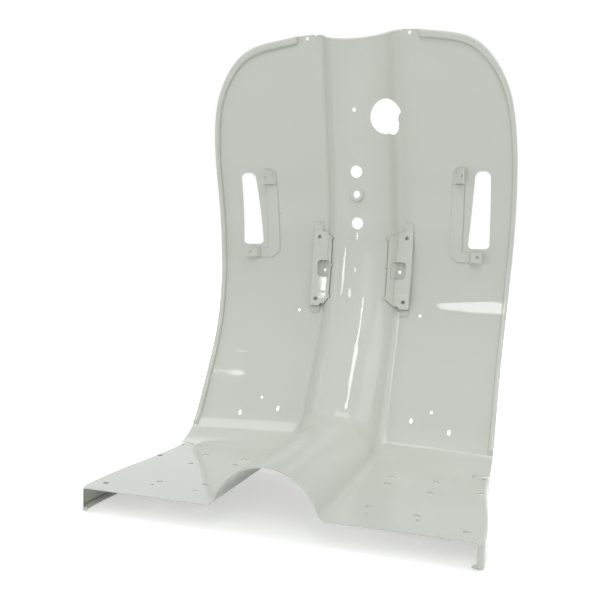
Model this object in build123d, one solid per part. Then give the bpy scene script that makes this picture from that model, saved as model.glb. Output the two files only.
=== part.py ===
# Scooter leg shield with the front of its footboard: one steel pressing and four welded brackets.
# Millimetres, +Z up, +Y toward the front wheel, the rider sits on the -Y side.
# Modelled from the middle of the rear floor edge, on the upper face of the floor, then moved to the row's
# origin: the middle of the four inner floor bolt holes, on the same face.
import math
import os

from build123d import *

os.makedirs("parts", exist_ok=True)

# Pressing: sheet and side profile
sheet_t = 1.2
knee_y = 308.0
slope_deg = 60.0
slope_len = 303.6
lean_deg = 14.5
bend_r = 90.0
sweep_r = 373.0
plan_axis_y = -624.0

# Top edge
top_z = 638.5
top_cut_deg = 27.0
top_lip_r = 3.0
tab_half_in = 68.0
tab_rise = 1.0
lip_sink = 1.5
tab_hole_d = 5.0
tab_hole_x = 81.2
tab_hole_drop = 4.5

# Centre tunnel
tunnel_r_rear = 70.5
tunnel_r_top = 61.5
tunnel_deep_rear = 16.0
tunnel_deep_top = 24.0
root_r = 12.0

# Outline, taken to the outside of the rolled edge
flank_half = 234.6
brow_half = 245.2
flank_z = 110.0
brow_z = 421.0
floor_half_rear = 253.5
floor_corner_r = 26.0
floor_corner_y = 16.0
floor_seam_x = 212.0
edge_bead_r = 3.7
bead_w = 7.2
bead_w_top = 11.2
bead_h = 6.0
bead_round = 2.8
rim_end_r = 5.0
bead_run_out = 39.0
bead_run_out_deg = 16.0
lip_proud = 0.4
bead_end_x = 96.0

# Skirts under the floor edges
skirt_h = 32.0
skirt_run = 246.0
skirt_bead_r = 3.4
skirt_bead_proud = 0.3
skirt_rear_r = 8.0
skirt_front_r = 30.0

# Indicator slots
slot_z_low = 310.5
slot_z_high = 429.0
slot_x_out = 205.5
slot_x_in_low = 171.5
slot_x_in_high = 182.0
slot_r_low = 7.0
slot_r_high = 10.0

# Openings in the tunnel
cable_d = 53.0
cable_x = 46.0
cable_z = 512.5
cable_turn_deg = 32.0
cable_bite_r = 16.0
cable_bite_out = 38.5
cable_corner_r = 11.0
cable_corner_out = 14.0
cable_corner_drop = 15.5
tunnel_hole_d = 19.0
tunnel_hole_high_z = 427.9
tunnel_hole_low_z = 347.2
boss_d = 22.0
boss_h = 2.6
boss_hole_d = 11.5
boss_z = 392.7
clip_hole_d = 6.5
clip_hole_z = 520.6

# Small holes in the shield, on both sides
side_hole_d = 4.4
side_hole_x = 101.9
side_hole_z = 201.8
trio_hole_d = 4.2
trio_hole_x = 137.5
trio_hole_z = 63.8
oval_w = 4.9
oval_h = 7.2
oval_in_x = 107.8
oval_in_z = 49.2
oval_out_x = 167.3
oval_out_z = 40.1
window_hole_x = 63.4
window_hole_z = 269.8

# Rail holes in the floor, on both sides
rail_hole_d = 8.0
rail_in_x = 109.5
rail_in_y = (69.0, 167.0, 199.2)
rail_mid_x = 170.0
rail_mid_y = (59.5, 148.7, 198.2)
rail_out_inset = 22.0
rail_out_y = (27.8, 171.4)
clip_small_d = 4.5
clip_in = (111.8, 44.7)
clip_mid = (173.3, 44.5)
clip_out_inset = 6.6
clip_out_y = 235.8

# Glovebox brackets
bracket_t = 1.4
glove_y_high = 426.2
glove_z_high = 324.7
glove_y_low = 409.1
glove_z_low = 222.4
glove_x_out = 84.0
glove_hole_x = 74.0
glove_hole_d = 6.4
glove_top_z = 338.5
glove_bottom_z = 211.0
glove_step = 1.2
glove_flange_x = 47.5
glove_foot_x = 67.5
glove_foot_drop = 13.0
glove_foot_rise = 14.0
glove_window_w = 23.0
glove_window_h = 27.5
glove_window_x = 63.0
glove_window_z = 272.3
glove_window_r = 5.0

# Indicator brackets
strip_in_high = 147.5
strip_in_low = 143.3
strip_out = 163.6
strip_high_z = 428.5
strip_low_z = 289.0
arm_h = 15.5
arm_x_out = 197.3
arm_joggle_x = 176.0
arm_lift = 11.0
arm_hole_d = 5.4
arm_hole_x = 189.0
ear_base = 5.0
ear_run = 17.5
ear_lift = 12.0
ear_h = 23.0
ear_z = 433.5
ear_hole_d = 3.6

margin = 20.0
backing = 110.0
split_z = 20.0
lean = 90.0 + lean_deg


def heading(deg):
    return Vector(math.cos(math.radians(deg)), math.sin(math.radians(deg)))


def frontward(deg):
    return Vector(math.sin(math.radians(deg)), -math.cos(math.radians(deg)))


def crossing(p, u, q, v):
    return p + u * ((q - p).cross(v).Z / u.cross(v).Z)


def wing_profile(deep, extra=0.0):
    # Side view in (Y, Z): floor, bend, slope, long sweep and leaning top, set back from the rider face.
    u0, u1, u2 = heading(0), heading(slope_deg), heading(lean)
    knee = Vector(knee_y, 0)
    brow = knee + u1 * slope_len
    k1 = crossing(Vector(0, -deep), u0, knee + frontward(slope_deg) * deep, u1)
    k2 = crossing(k1, u1, brow + frontward(lean) * deep, u2)
    t1 = (bend_r + deep) * math.tan(math.radians(slope_deg / 2))
    t2 = (sweep_r + deep) * math.tan(math.radians((lean - slope_deg) / 2))
    run = (top_z - k2.Y) / u2.Y
    start = Vector(-margin - extra, -deep)
    end = k2 + u2 * (run + margin + extra)
    return [
        Line(start, k1 - u0 * t1),
        TangentArc(k1 - u0 * t1, k1 + u1 * t1, tangent=u0),
        Line(k1 + u1 * t1, k2 - u1 * t2),
        TangentArc(k2 - u1 * t2, k2 + u2 * t2, tangent=u1),
        Line(k2 + u2 * t2, end),
    ]


def ends(edges):
    return edges[0] @ 0, edges[-1] @ 1


def wing_block(deep):
    # Everything in front of the flat wings: the side profile turned about the upright plan axis.
    rear = wing_profile(deep)
    front = wing_profile(backing + deep)
    (r0, r1), (f0, f1) = ends(rear), ends(front)
    face = Plane.YZ * make_face(rear + [Line(r1, f1)] + front + [Line(f0, r0)])
    axis = Axis((0, plan_axis_y, 0), (0, 0, 1))
    return revolve(face, axis, 56).rotate(axis, -28)


def tunnel_block(deep):
    # Round tunnel, tapering from the rear arch to the top, along one smooth line behind the rider face.
    stops = []
    for k in range(21):
        deep_k = tunnel_deep_rear + (tunnel_deep_top - tunnel_deep_rear) * k / 20
        stops.append(wing_profile(deep_k, 5)[min(k // 4, 4)] @ (k / 4 - min(k // 4, 4)))
    p0, p1 = stops[0], stops[-1]
    path = Spline(*stops, tangents=[heading(0), heading(lean)])
    u2 = heading(lean)
    rear = Plane((0, p0.X, p0.Y), x_dir=(1, 0, 0), z_dir=(0, 1, 0)) * Circle(tunnel_r_rear - deep)
    top = Plane((0, p1.X, p1.Y), x_dir=(1, 0, 0), z_dir=(0, u2.X, u2.Y)) * Circle(tunnel_r_top - deep)
    return sweep(sections=[rear, top], path=Plane.YZ * path, multisection=True)


def on_wing(edge, wire):
    for t in (0.1, 0.5, 0.9):
        p = edge.position_at(t)
        spot = Vertex(math.hypot(p.X, p.Y - plan_axis_y) + plan_axis_y, p.Z, 0)
        if wire.distance_to(spot) > 0.05:
            return False
    return True


def filled(deep):
    # Wings and tunnel as one block with a soft root between them.
    keep = Pos(0, 300 - margin / 2, 0) * Box(700, 600, 2 * (top_z + margin / 2))
    block = (wing_block(deep) + tunnel_block(deep)) & keep
    wire = Wire(wing_profile(deep))
    roots = [e for e in block.edges() if 20 < abs(e.center().X) < 1.3 * tunnel_r_rear and on_wing(e, wire)]
    return fillet(roots, root_r + deep)


outer = filled(0)
inner = filled(sheet_t)
skin = filled(-bracket_t) - outer


def upright(face, y0=-100.0, y1=700.0):
    # Extrude a front view sketch (X, Z) through the depth.
    return extrude(Plane((0, y0, 0), x_dir=(1, 0, 0), z_dir=(0, -1, 0)) * face, -(y1 - y0))


def closed(edges, corner=0.0):
    face = make_face(edges)
    return fillet(face.vertices(), corner) if corner > 0 else face


def polygon(points, corner=0.0):
    return closed(Polyline(*points, close=True).edges(), corner)


def both(shape):
    return [shape, mirror(shape, Plane.YZ)]


# Outline: front view above the bend, floor plan below it
def front_outline(side_in, top_in, low):
    half_w, half_b = flank_half - side_in, brow_half - side_in
    rise = top_z - 1 - top_in - brow_z
    span = half_b - bead_end_x
    high = top_z + 2 * margin
    shoulder = [(0, 0), (0.02, 0.305), (0.108, 0.598), (0.381, 0.875), (1, 1)]
    spots = [(half_b - u * span, brow_z + v * rise) for u, v in shoulder]
    corner = Spline(*spots, tangents=[(0, 1), (-1, 0.18)])
    return make_face(
        [
            Line((0, low), (half_w, low)),
            Line((half_w, low), (half_w, flank_z)),
            Spline((half_w, flank_z), (half_b, brow_z), tangents=[(0, 1), (0, 1)]),
            corner,
            Line((bead_end_x, brow_z + rise), (tab_half_in, top_z + tab_rise)),
            Line((tab_half_in, top_z + tab_rise), (tab_half_in, high)),
            Line((tab_half_in, high), (0, high)),
            Line((0, high), (0, low)),
        ]
    )


front_view = upright(front_outline(0, 0, split_z), 0, 700)
floor_plan = polygon(
    [
        (0, 0),
        (floor_seam_x, 0),
        (floor_seam_x, skirt_run),
        (flank_half, skirt_run),
        (flank_half, 600),
        (0, 600),
    ]
)
half_trim = front_view + Pos(0, 0, -200) * extrude(floor_plan, split_z + 200)
trim = half_trim + mirror(half_trim, Plane.YZ)
cut_n = Vector(0, -math.sin(math.radians(top_cut_deg)), math.cos(math.radians(top_cut_deg)))
top_y = (wing_profile(0)[-1] @ 1).X - margin * heading(lean).X
top_plane = Plane((0, top_y, top_z), x_dir=(1, 0, 0), z_dir=cut_n)
trim -= extrude(top_plane * Rectangle(2 * tab_half_in + 1, 700), 200)

# Raised rolled edge along the flanks and over the shoulders
frame = Pos(150 + bead_end_x, 300) * Rectangle(300, 800) - front_outline(bead_w, bead_w_top, -200)
rim_end = frame.vertices().sort_by_distance((bead_end_x, top_z - 1 - bead_w_top))[0]
frame = fillet(rim_end, rim_end_r)
rim_block = wing_block(-bead_h) & upright(frame, skirt_run, 700)
run_end = skirt_run + bead_run_out
run_rise = bead_run_out * math.tan(math.radians(bead_run_out_deg))
run_out = polygon(
    [(skirt_run, 0), (run_end, run_rise), (run_end, 40), (skirt_run - 5, 40), (skirt_run - 5, 0)]
)
rim_block -= extrude(Plane.YZ * run_out, 400)
block = (outer + both(rim_block)) & trim
rim_wire = Wire(wing_profile(-bead_h))
rim_edges = []
for e in block.edges():
    low_x = min(abs((e @ 0).X), abs((e @ 1).X))
    along = low_x > bead_end_x - 1 and abs(e.center().X) > bead_end_x + 1
    if along and e.length > 9 and e.center().Z > bead_h and on_wing(e, rim_wire):
        rim_edges.append(e)
block = fillet(rim_edges, bead_round)
panel = block - inner
pieces = []

# Skirts: folded floor edge, upright web and a rolled lower edge
def edge_run(inset):
    # Floor edge in plan, set in from the outside of the skirt: a lead, the rear corner and a soft S.
    swing = math.degrees(math.asin(floor_corner_y / floor_corner_r))
    centre = (floor_half_rear - floor_corner_r, floor_corner_y)
    corner = CenterArc(centre, floor_corner_r - inset, -swing, swing)
    lead = Line(corner @ 0 - (corner % 0) * margin, corner @ 0)
    sway = Spline(corner @ 1, (flank_half - inset, skirt_run), tangents=[(0, 1), (0, 1)])
    return [lead, corner, sway]


def edge_plan(inset):
    edge = edge_run(inset)
    tail, nose = ends(edge)
    seam = [(floor_seam_x, nose.Y), (floor_seam_x, tail.Y)]
    return make_face(edge + [Line(nose, seam[0]), Line(*seam), Line(seam[1], tail)])


def fold_edges(solid, z):
    # Side edges of the folded floor at a height.
    level = [e for e in solid.edges() if abs((e @ 0).Z - z) < 0.01 and abs((e @ 1).Z - z) < 0.01]
    return [e for e in level if e.center().X > floor_seam_x + 1 and abs((e % 0.5).X) < 0.8]


shell_out = extrude(edge_plan(0), -skirt_h)
shell_out = fillet(fold_edges(shell_out, 0), edge_bead_r)
shell_in = Pos(0, 0, -sheet_t) * extrude(edge_plan(sheet_t), -(skirt_h - sheet_t))
shell_in = fillet(fold_edges(shell_in, -sheet_t), edge_bead_r - sheet_t)
roll_path = Pos(0, 0, skirt_bead_r - skirt_h) * Wire(edge_run(skirt_bead_r - skirt_bead_proud))
roll = sweep((roll_path ^ 0) * Circle(skirt_bead_r), roll_path)
skirt = shell_out - shell_in + roll
front_y = skirt_run - skirt_front_r
side = closed(
    [
        Line((0, 10), (0, -skirt_h + skirt_rear_r)),
        RadiusArc((0, -skirt_h + skirt_rear_r), (skirt_rear_r, -skirt_h), -skirt_rear_r),
        Line((skirt_rear_r, -skirt_h), (front_y, -skirt_h)),
        RadiusArc((front_y, -skirt_h), (skirt_run, -skirt_h + skirt_front_r), -skirt_front_r),
        Line((skirt_run, -skirt_h + skirt_front_r), (skirt_run, 10)),
        Line((skirt_run, 10), (0, 10)),
    ]
)
skirt = skirt & extrude(Plane.YZ * side, 400)
pieces += both(skirt)

# Rolled lip along the top of the tunnel
lip_cut = filled(top_lip_r - lip_proud) & (top_plane.offset(-lip_sink) * Rectangle(700, 700))
lip_edges = [e for e in lip_cut.edges() if abs(e.center().X) < tab_half_in and e.center().Y < top_y + 3]
lip_path = Wire(lip_edges)
lip = sweep((lip_path ^ 0) * Circle(top_lip_r), lip_path)
lip += (lip_path ^ 0) * Sphere(top_lip_r - 0.2)
lip += (lip_path ^ 1) * Sphere(top_lip_r - 0.2)
pieces.append(lip)


def punch(d, x, z):
    # Round punch along Y.
    return upright(Pos(x, z) * Circle(d / 2))


def rider_y(x, z):
    # Depth of the rider face of the pressing at a place in the front view.
    return min(v.Y for v in (outer & Line((x, -100, z), (x, 700, z))).vertices())


# Boss and holes on the tunnel centre line
crest_y = rider_y(0, boss_z)
boss = upright(Pos(0, boss_z) * Circle(boss_d / 2), crest_y - boss_h, crest_y + 8) - inner
boss = fillet(boss.edges().group_by(Axis.Y)[0], 1.2)
pieces.append(boss)
panel += pieces
cuts = [
    punch(boss_hole_d, 0, boss_z),
    punch(tunnel_hole_d, 0, tunnel_hole_high_z),
    punch(tunnel_hole_d, 0, tunnel_hole_low_z),
    punch(clip_hole_d, 0, clip_hole_z),
]

# Cable opening on the right flank of the tunnel
turn = math.radians(cable_turn_deg)
cable_way = Vector(math.sin(turn), -math.cos(turn), 0)
cable_plane = Plane((cable_x, rider_y(cable_x, cable_z), cable_z), x_dir=(0, 0, 1), z_dir=cable_way)
cable_face = Circle(cable_d / 2) + Pos(-cable_corner_drop, -cable_corner_out) * Circle(cable_corner_r)
cable_face -= Pos(0, -cable_bite_out) * Circle(cable_bite_r)
cuts.append(extrude(cable_plane * cable_face, 60, both=True))

# Indicator slots and the small holes, on both sides
slot = polygon(
    [
        (slot_x_in_low, slot_z_low),
        (slot_x_out, slot_z_low),
        (slot_x_out, slot_z_high),
        (slot_x_in_high, slot_z_high),
    ]
)
slot = fillet(slot.vertices().group_by(Axis.Y)[0], slot_r_low)
slot = fillet(slot.vertices().group_by(Axis.Y)[-1], slot_r_high)
side_cuts = [
    upright(slot),
    punch(side_hole_d, side_hole_x, side_hole_z),
    punch(trio_hole_d, trio_hole_x, trio_hole_z),
    punch(side_hole_d, window_hole_x, window_hole_z),
    punch(tab_hole_d, tab_hole_x, top_z - tab_hole_drop),
    upright(Pos(oval_in_x, oval_in_z) * SlotOverall(oval_h, oval_w, 90)),
    upright(Pos(oval_out_x, oval_out_z) * SlotOverall(oval_h, oval_w, 90)),
]
rail_out_x = floor_half_rear - rail_out_inset
for x, rows in ((rail_in_x, rail_in_y), (rail_mid_x, rail_mid_y), (rail_out_x, rail_out_y)):
    side_cuts += [Pos(x, y, 0) * Cylinder(rail_hole_d / 2, 8) for y in rows]
for x, y in (clip_in, clip_mid, (flank_half - clip_out_inset, clip_out_y)):
    side_cuts.append(Pos(x, y, 0) * Cylinder(clip_small_d / 2, 8))
for cut in side_cuts:
    cuts += both(cut)
panel -= cuts

# Glovebox bracket: raised plate beside the tunnel, a flange on its wall and two welded feet
glove_lean = (glove_y_high - glove_y_low) / (glove_z_high - glove_z_low)


def glove_y(z):
    return glove_y_low + glove_lean * (z - glove_z_low)


z_up = glove_z_high - 10
z_dn = glove_z_low + 10
face_line = [
    (glove_y(glove_bottom_z), glove_bottom_z),
    (glove_y(z_dn), z_dn),
    (glove_y(z_dn + 4) + glove_step, z_dn + 4),
    (glove_y(z_up - 4) + glove_step, z_up - 4),
    (glove_y(z_up), z_up),
    (glove_y(glove_top_z), glove_top_z),
]
back_line = [(y + bracket_t, z) for y, z in reversed(face_line)]
plate = extrude(Plane.YZ * polygon(face_line + back_line), glove_x_out)
plate &= upright(
    polygon(
        [
            (glove_flange_x, glove_bottom_z + 4.6),
            (glove_foot_x - 2, glove_bottom_z + 4),
            (glove_foot_x, glove_bottom_z),
            (glove_x_out - 1, glove_bottom_z),
            (glove_x_out, z_up),
            (glove_x_out - 0.4, glove_top_z),
            (glove_foot_x + 3, glove_top_z),
            (glove_foot_x + 1, glove_top_z - 4),
            (glove_flange_x, glove_top_z - 6.5),
        ]
    )
)
step_y = glove_y(glove_bottom_z)
step = Pos((glove_foot_x + glove_x_out - 1) / 2, step_y + 10, glove_bottom_z + bracket_t / 2) * Box(
    glove_x_out - 1 - glove_foot_x, 20, bracket_t
)
foot_w = glove_x_out - 1.5 - glove_foot_x
foot_mid = glove_foot_x + foot_w / 2
low_foot_z = glove_bottom_z + bracket_t - glove_foot_drop / 2
low_foot = Pos(foot_mid, low_foot_z) * Rectangle(foot_w, glove_foot_drop)
low_foot = fillet(low_foot.vertices().group_by(Axis.Y)[0], 5)
high_foot = Pos(foot_mid + 1, glove_top_z - 3 + glove_foot_rise / 2) * Rectangle(foot_w, glove_foot_rise)
high_foot = fillet(high_foot.vertices().group_by(Axis.Y)[-1], 5)
flange = polygon(
    [
        (glove_flange_x, glove_z_low + 4),
        (glove_foot_x - 9.5, glove_bottom_z + 4.6),
        (glove_foot_x - 6, glove_bottom_z + 4.6),
        (glove_foot_x - 6, glove_top_z - 6.5),
        (glove_foot_x - 8.5, glove_top_z - 6.5),
        (glove_flange_x, glove_z_high),
    ]
)
weld_ears = [
    Pos(glove_flange_x, z) * Circle(2.6)
    for z in (glove_z_low + 5.5, (glove_z_low + glove_z_high) / 2 + 5, glove_z_high - 1.5)
]
glove = (plate + step) - outer
glove += skin & upright(low_foot)
glove += skin & upright(high_foot)
glove += skin & upright(flange + weld_ears)
window = RectangleRounded(glove_window_w, glove_window_h, glove_window_r)
glove -= upright(Pos(glove_window_x, glove_window_z) * window)
glove -= [punch(glove_hole_d, glove_hole_x, glove_z_high), punch(glove_hole_d, glove_hole_x, glove_z_low)]

# Indicator bracket: strip lying on the wing, a raised pad under the slot and a standing ear beside it
strip = polygon(
    [
        (strip_in_high, strip_high_z),
        (strip_in_high + ear_base, strip_high_z + 1),
        (strip_in_high + ear_base, ear_z - ear_h - 1),
        (strip_out + 1, ear_z - ear_h - 1),
        (strip_out - 1, strip_low_z + arm_h),
        (arm_joggle_x + 1, strip_low_z + arm_h),
        (arm_joggle_x + 1, strip_low_z),
        (strip_in_low + 13, strip_low_z),
        (strip_in_low, strip_low_z + 11),
    ]
)
indicator = skin & upright(strip)


def raised(x, z, back, low, high):
    # Bent strip standing off the wing: plan points along the wing and off it, thickened and raised in Z.
    here = Vector(x, rider_y(x, z), 0)
    along = Vector(20, rider_y(x + 10, z) - rider_y(x - 10, z), 0).normalized()
    off = Vector(along.Y, -along.X, 0)
    line = Wire(Polyline(*[here + along * u + off * w for u, w in back]).edges())
    thick = line.offset_2d(bracket_t, Kind.INTERSECTION, Side.RIGHT)
    return Pos(0, 0, low) * extrude(make_face(thick.edges()), high - low)


arm_mid = strip_low_z + arm_h / 2
arm_rise = arm_lift - bracket_t
arm = raised(
    arm_joggle_x,
    arm_mid,
    [(-6, 0), (1, 0), (5.5, arm_rise), (arm_x_out - arm_joggle_x, arm_rise)],
    strip_low_z,
    strip_low_z + arm_h,
)
ear_rise = ear_lift - bracket_t
ear = raised(
    strip_in_high + ear_base / 2,
    ear_z - ear_h / 2,
    [(-ear_base / 2, 0), (0, 0), (ear_run - 2, ear_rise), (ear_run, ear_rise)],
    ear_z - ear_h,
    ear_z,
)
indicator += (arm + ear) - outer
indicator -= punch(arm_hole_d, arm_hole_x, arm_mid + 1)
indicator -= punch(ear_hole_d, strip_in_high + ear_run - 2.5, ear_z - ear_h / 2)

place = Pos(0, -(rail_in_y[0] + rail_in_y[-1]) / 2, 0)
export_step(place * panel, "parts/leg_shield_panel.step")
for side_name, turned in (("right", False), ("left", True)):
    for name, shape in (("glovebox_bracket", glove), ("indicator_bracket", indicator)):
        shape = mirror(shape, Plane.YZ) if turned else shape
        export_step(place * shape, f"parts/{name}_{side_name}.step")
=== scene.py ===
import math

import bmesh
import bpy
from mathutils import Matrix, Vector
from mathutils.bvhtree import BVHTree


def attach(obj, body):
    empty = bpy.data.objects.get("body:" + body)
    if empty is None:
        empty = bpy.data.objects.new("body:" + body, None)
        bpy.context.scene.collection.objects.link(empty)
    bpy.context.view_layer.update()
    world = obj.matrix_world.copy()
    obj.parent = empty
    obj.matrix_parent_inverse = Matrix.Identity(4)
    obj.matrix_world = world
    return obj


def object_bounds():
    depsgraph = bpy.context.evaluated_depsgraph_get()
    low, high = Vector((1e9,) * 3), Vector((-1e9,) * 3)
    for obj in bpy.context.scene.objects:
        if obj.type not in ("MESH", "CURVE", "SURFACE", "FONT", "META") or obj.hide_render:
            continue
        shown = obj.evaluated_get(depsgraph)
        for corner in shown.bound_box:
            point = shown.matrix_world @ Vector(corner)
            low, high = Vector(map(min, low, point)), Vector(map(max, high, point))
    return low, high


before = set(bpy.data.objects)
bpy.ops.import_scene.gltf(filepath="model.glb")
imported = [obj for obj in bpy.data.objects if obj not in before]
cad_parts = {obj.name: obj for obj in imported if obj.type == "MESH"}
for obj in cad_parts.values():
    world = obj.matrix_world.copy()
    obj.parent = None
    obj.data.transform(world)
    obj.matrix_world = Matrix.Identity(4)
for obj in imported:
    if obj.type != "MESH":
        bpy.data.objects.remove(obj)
cad_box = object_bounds()

# Viewing place of the photograph, in metres and degrees in the part's own frame.
EYE = Vector((0.3316, -0.9892, 0.3238))
VIEW_TURN = math.radians(18.88)
VIEW_RISE = math.radians(4.51)
VIEW_ROLL = math.radians(1.19)
LENS_MM = 48.0
SENSOR_MM = 36.0
CLIP_NEAR, CLIP_FAR = 0.05, 60.0

# Gloss enamel over the whole part.
ENAMEL_WARM = (0.712, 0.722, 0.655)
ENAMEL_COOL = (0.690, 0.722, 0.682)
ENAMEL_HAZE = (0.86, 0.86, 0.85)
ENAMEL_IOR = 1.5
GLOSS = 0.02
MIST_GLOSS = 0.02
MIST_SHARE = 0.05
DRIFT_SCALE, DRIFT_DETAIL = 2.6, 3.0
MIST_SCALE, MIST_DETAIL = 34.0, 4.0
PEEL_SCALE = 210.0
WAVE_SCALE = 9.0
WAVE_HEIGHT = 0.0001
# Painted shade darkening seams, creases and corners: its colour, reach in metres and samples.
PAINTED_CREASE_SHADE = (0.20, 0.20, 0.17)
PAINTED_SHADE_REACH = 0.003
PAINTED_SHADE_SAMPLES = 8
# name: shift of the noise, height of the orange peel, depth of the painted shade in seams and creases
COATS = {
    "pressing_enamel": ((0.0, 0.0, 0.0), 0.00001, 0.55),
    "bracket_enamel": ((3.1, 1.7, 0.4), 0.00002, 0.75),
}

# Spot welds on the brackets of the right side, as seen from the rider: metres across and up.
WELD_SPOTS = {
    "indicator_bracket": ((0.1495, 0.4285), (0.1438, 0.3631), (0.1465, 0.2960)),
    "glovebox_bracket": ((0.0753, 0.3472), (0.0476, 0.3233), (0.0482, 0.2785), (0.0476, 0.2277)),
}
WELD_RADIUS = 0.0021
WELD_FLATNESS = 0.42
DOME_AROUND, DOME_RINGS = 20, 12

# Studio.
FLOOR_GAP = 0.0006
FLOOR_HALF = 9.0
FLOOR_SHADE = (0.86, 0.86, 0.85)
# Floor glow, dimmed near the part as a painted shadow that fades out to full white further away; radii in
# metres.
PAINTED_SHADOW_GLOW = 0.50
GLOW_FAR = 1.0
PAINTED_SHADOW_CORE = 0.30
PAINTED_SHADOW_FADE = 0.95
ROOM_LIGHT = 0.25
ROOM_TINT = (0.99, 1.0, 0.99)
LAMP_AIM = Vector((0.0, 0.2, 0.25))
# name: direction seen from the part (turn, rise), spin, distance, outline, width, height, watts, colour
LAMPS = {
    "crown_lamp": (17, 50.5, 0, 2.5, "ELLIPSE", 0.44, 0.34, 3.4, (0.97, 1.0, 1.0)),
    "strip_lamp": (17, 37, 0, 2.5, "RECTANGLE", 0.20, 0.85, 4.8, (0.97, 1.0, 1.0)),
    "flank_lamp": (108, 13, 0, 2.4, "RECTANGLE", 0.20, 0.50, 3.5, (0.95, 0.99, 1.0)),
    "edge_lamp": (-96, 8, 0, 3.0, "RECTANGLE", 1.8, 1.8, 4.5, (0.98, 1.0, 1.0)),
    "wing_lamp": (-29.4, 24.3, 10, 4.5, "ELLIPSE", 0.83, 0.33, 5.0, (0.97, 1.0, 1.0)),
    "spot_lamp": (-10.5, 47.42, 0, 5.9, "ELLIPSE", 0.11, 0.05, 0.11, (0.97, 1.0, 1.0)),
    "bracket_lamp": (-18, 15, 0, 4.0, "RECTANGLE", 0.18, 0.18, 1.3, (0.97, 1.0, 1.0)),
    "low_lamp": (-14.5, 0.3, 45, 2.4, "RECTANGLE", 0.15, 0.15, 0.9, (0.97, 1.0, 1.0)),
    "side_lamp": (-56, 12, 29, 2.6, "ELLIPSE", 0.28, 0.78, 4.8, (0.97, 1.0, 1.0)),
    "soft_front": (22, 25, 0, 3.0, "RECTANGLE", 1.8, 1.8, 7.4, (1.0, 0.97, 0.92)),
    "soft_left": (-62, 35, 0, 3.0, "RECTANGLE", 1.8, 1.8, 2.8, (0.97, 1.0, 1.0)),
    "soft_right": (80, 35, 0, 3.0, "RECTANGLE", 1.8, 1.8, 12.9, (0.93, 1.0, 0.98)),
    "soft_back": (200, 40, 0, 3.0, "RECTANGLE", 1.8, 1.8, 12.0, (1.0, 1.0, 1.0)),
    "soft_top": (0, 82, 0, 3.0, "RECTANGLE", 1.8, 1.8, 25.0, (0.99, 0.98, 1.0)),
}


class Sock:
    """A node socket that can stand in a Python expression."""

    def __init__(self, tree, out):
        self.tree = tree
        self.out = out

    def math(self, operation, other, flip=False):
        pair = (other, self) if flip else (self, other)
        return Bench(self.tree).node("ShaderNodeMath", {"operation": operation}, i0=pair[0], i1=pair[1])

    def __add__(self, other):
        return self.math("ADD", other)

    def __radd__(self, other):
        return self.math("ADD", other, True)

    def __sub__(self, other):
        return self.math("SUBTRACT", other)

    def __rsub__(self, other):
        return self.math("SUBTRACT", other, True)

    def __mul__(self, other):
        return self.math("MULTIPLY", other)

    def __rmul__(self, other):
        return self.math("MULTIPLY", other, True)


class Bench:
    """Adds nodes to one tree, each with its settings first and then its sockets."""

    def __init__(self, tree):
        self.tree = tree

    def node(self, kind, settings=None, out=0, **values):
        node = self.tree.nodes.new(kind)
        for key, value in (settings or {}).items():
            setattr(node, key, value)
        for key, value in values.items():
            numbered = key[0] == "i" and key[1:].isdigit()
            slot = node.inputs[int(key[1:]) if numbered else key.replace("_", " ")]
            if isinstance(value, Sock):
                self.tree.links.new(value.out, slot)
            else:
                slot.default_value = value
        return Sock(self.tree, node.outputs[out]) if node.outputs else None


def bare_bench(owner):
    owner.use_nodes = True
    owner.node_tree.nodes.clear()
    return Bench(owner.node_tree)


def noise(bench, spot, scale, detail):
    settings = {"noise_dimensions": "3D"}
    return bench.node("ShaderNodeTexNoise", settings, Vector=spot, Scale=scale, Detail=detail)


def enamel(name, shift, peel_height, painted_shade_depth):
    """Sprayed gloss enamel: orange peel, slow waves of the sheet, a slight drift of tone and painted shade in
    seams and creases.
    """
    coat = bpy.data.materials.new(name)
    bench = bare_bench(coat)
    spot = bench.node("ShaderNodeTexCoord", out=3)
    spot = bench.node("ShaderNodeMapping", Vector=spot, Location=shift)
    drift = noise(bench, spot, DRIFT_SCALE, DRIFT_DETAIL)
    mist = noise(bench, spot, MIST_SCALE, MIST_DETAIL)
    mix = {"data_type": "RGBA"}
    shade = bench.node("ShaderNodeMix", mix, 2, i0=drift, i6=(*ENAMEL_WARM, 1), i7=(*ENAMEL_COOL, 1))
    mix = {"data_type": "RGBA", "blend_type": "MULTIPLY"}
    enamel_colour = bench.node("ShaderNodeMix", mix, 2, i0=mist * MIST_SHARE, i6=shade, i7=(*ENAMEL_HAZE, 1))
    # Painted shade: ambient occlusion darkens the colour in seams, creases and corners where parts meet.
    open_sky = bench.node("ShaderNodeAmbientOcclusion", {"samples": PAINTED_SHADE_SAMPLES}, 1, Distance=PAINTED_SHADE_REACH)
    crease_painted_shade = ((1.0 - open_sky) * painted_shade_depth).math("MINIMUM", 1.0)
    mix = {"data_type": "RGBA"}
    enamel_colour = bench.node("ShaderNodeMix", mix, 2, i0=crease_painted_shade, i6=enamel_colour, i7=(*PAINTED_CREASE_SHADE, 1))
    peel = noise(bench, spot, PEEL_SCALE, 1.0)
    wave = noise(bench, spot, WAVE_SCALE, 1.0)
    skin = bench.node("ShaderNodeBump", Height=peel, Strength=1.0, Distance=peel_height)
    sheet = bench.node("ShaderNodeBump", Height=wave, Strength=1.0, Distance=WAVE_HEIGHT, Normal=skin)
    paint = bench.node("ShaderNodeBsdfPrincipled", Base_Color=enamel_colour, Roughness=GLOSS + mist * MIST_GLOSS,
                       IOR=ENAMEL_IOR, Normal=sheet)
    bench.node("ShaderNodeOutputMaterial", Surface=paint)
    return coat


pressing_enamel, bracket_enamel = (enamel(name, *coat) for name, coat in COATS.items())
for name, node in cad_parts.items():
    node.data.materials.clear()
    node.data.materials.append(pressing_enamel if name == "leg_shield_panel" else bracket_enamel)


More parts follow.
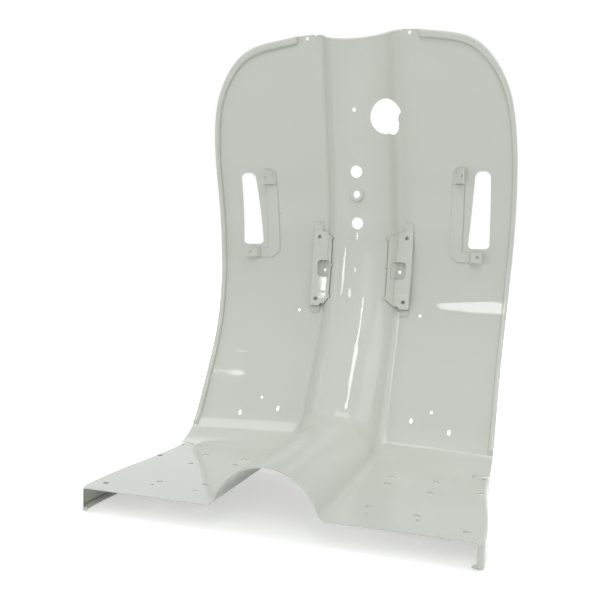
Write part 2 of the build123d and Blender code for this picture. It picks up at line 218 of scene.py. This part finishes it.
def rider_face(names):
    """Surfaces that a weld can sit on, to be struck along +Y."""
    faces = []
    for name in names:
        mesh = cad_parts[name].data
        faces.append(BVHTree.FromPolygons([v.co for v in mesh.vertices], [p.vertices for p in mesh.polygons]))
    return faces


def strike(faces, x, z):
    hits = [face.ray_cast(Vector((x, -1.0, z)), Vector((0, 1, 0))) for face in faces]
    spot, normal, _, _ = min((hit for hit in hits if hit[0] is not None), key=lambda hit: hit[3])
    return spot, normal if normal.y < 0 else -normal


def spot_welds(kind, hand, side):
    """Low painted domes where a bracket is welded to the pressing."""
    faces = rider_face(("leg_shield_panel", f"{kind}_{hand}"))
    domes = bmesh.new()
    for x, z in WELD_SPOTS[kind]:
        spot, normal = strike(faces, side * x, z)
        squat = Matrix.Scale(WELD_FLATNESS, 4, (0, 0, 1))
        turn = normal.to_track_quat("Z", "Y").to_matrix().to_4x4()
        bmesh.ops.create_uvsphere(domes, u_segments=DOME_AROUND, v_segments=DOME_RINGS, radius=WELD_RADIUS,
                                  matrix=Matrix.Translation(spot) @ turn @ squat)
    for face in domes.faces:
        face.smooth = True
    name = f"{kind}_welds_{hand}"
    mesh = bpy.data.meshes.new(name)
    domes.to_mesh(mesh)
    domes.free()
    mesh.materials.append(bracket_enamel)
    piece = bpy.data.objects.new(name, mesh)
    bpy.context.scene.collection.objects.link(piece)
    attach(piece, "root")


for kind in WELD_SPOTS:
    spot_welds(kind, "right", 1)
    spot_welds(kind, "left", -1)


def watched(bench):
    """One for rays from the eye and for those mirrored or let through."""
    seen = bench.node("ShaderNodeLightPath", out=0)
    for ray in (3, 6):
        seen = seen.math("MAXIMUM", bench.node("ShaderNodeLightPath", out=ray))
    return seen


def studio_floor():
    """A pale floor just under the skirts, white to the eye and darker where the part shades it, with its glow
    dimmed near the part as a painted shadow.
    """
    paper = bpy.data.materials.new("studio_floor")
    bench = bare_bench(paper)
    matte = bench.node("ShaderNodeBsdfDiffuse", Color=(*FLOOR_SHADE, 1))
    spot = bench.node("ShaderNodeTexCoord", out=3)
    reach = bench.node("ShaderNodeVectorMath", {"operation": "LENGTH"}, 1, i0=spot)
    # Painted shadow: the glow is weaker near the part and rises to full white away from it.
    glow_under_painted_shadow = bench.node("ShaderNodeMapRange", {"interpolation_type": "SMOOTHSTEP"}, Value=reach,
                      From_Min=PAINTED_SHADOW_CORE, From_Max=PAINTED_SHADOW_FADE, To_Min=PAINTED_SHADOW_GLOW, To_Max=GLOW_FAR)
    glow = bench.node("ShaderNodeEmission", Color=(1, 1, 1, 1), Strength=glow_under_painted_shadow)
    both = bench.node("ShaderNodeAddShader", i0=matte, i1=glow)
    mixed = bench.node("ShaderNodeMixShader", i0=watched(bench), i1=matte, i2=both)
    bench.node("ShaderNodeOutputMaterial", Surface=mixed)
    sheet = bmesh.new()
    bmesh.ops.create_grid(sheet, x_segments=1, y_segments=1, size=FLOOR_HALF)
    bmesh.ops.translate(sheet, verts=sheet.verts, vec=(0, 0, cad_box[0][2] - FLOOR_GAP))
    mesh = bpy.data.meshes.new("studio_floor")
    sheet.to_mesh(mesh)
    sheet.free()
    mesh.materials.append(paper)
    floor = bpy.data.objects.new("studio_floor", mesh)
    bpy.context.scene.collection.objects.link(floor)


def studio_world():
    world = bpy.data.worlds.new("studio_world")
    bpy.context.scene.world = world
    bench = bare_bench(world)
    room = bench.node("ShaderNodeBackground", Color=(*ROOM_TINT, 1), Strength=ROOM_LIGHT)
    back = bench.node("ShaderNodeBackground", Color=(1, 1, 1, 1), Strength=1.0)
    mixed = bench.node("ShaderNodeMixShader", i0=watched(bench), i1=room, i2=back)
    bench.node("ShaderNodeOutputWorld", Surface=mixed)


def studio_lamp(name, turn_deg, rise_deg, spin_deg, far, outline, wide, tall, watts, colour):
    """A flat lamp seen from the part in a given direction, facing it."""
    turn = math.radians(turn_deg)
    rise = math.radians(rise_deg)
    way = Vector((math.sin(turn) * math.cos(rise), -math.cos(turn) * math.cos(rise), math.sin(rise)))
    lamp = bpy.data.lights.new(name, "AREA")
    lamp.shape = outline
    lamp.size = wide
    lamp.size_y = tall
    lamp.energy = watts
    lamp.color = colour
    holder = bpy.data.objects.new(name, lamp)
    facing = way.to_track_quat("Z", "Y").to_matrix().to_4x4()
    spin = Matrix.Rotation(math.radians(spin_deg), 4, "Z")
    holder.matrix_world = Matrix.Translation(LAMP_AIM + way * far) @ facing @ spin
    bpy.context.scene.collection.objects.link(holder)


def photograph_camera():
    back = Vector((math.sin(VIEW_TURN) * math.cos(VIEW_RISE),
                   -math.cos(VIEW_TURN) * math.cos(VIEW_RISE), math.sin(VIEW_RISE)))
    right = (-back).cross(Vector((0, 0, 1))).normalized()
    up = right.cross(-back)
    across = math.cos(VIEW_ROLL) * right + math.sin(VIEW_ROLL) * up
    upward = math.cos(VIEW_ROLL) * up - math.sin(VIEW_ROLL) * right
    lens = bpy.data.cameras.new("photograph_camera")
    lens.lens = LENS_MM
    lens.sensor_width = SENSOR_MM
    lens.clip_start = CLIP_NEAR
    lens.clip_end = CLIP_FAR
    eye = bpy.data.objects.new("photograph_camera", lens)
    turn = Matrix((across, upward, back)).transposed()
    eye.matrix_world = Matrix.Translation(EYE) @ turn.to_4x4()
    bpy.context.scene.collection.objects.link(eye)
    bpy.context.scene.camera = eye


studio_floor()
studio_world()
for name, lamp in LAMPS.items():
    studio_lamp(name, *lamp)
photograph_camera()
bpy.context.scene.view_settings.view_transform = "Standard"
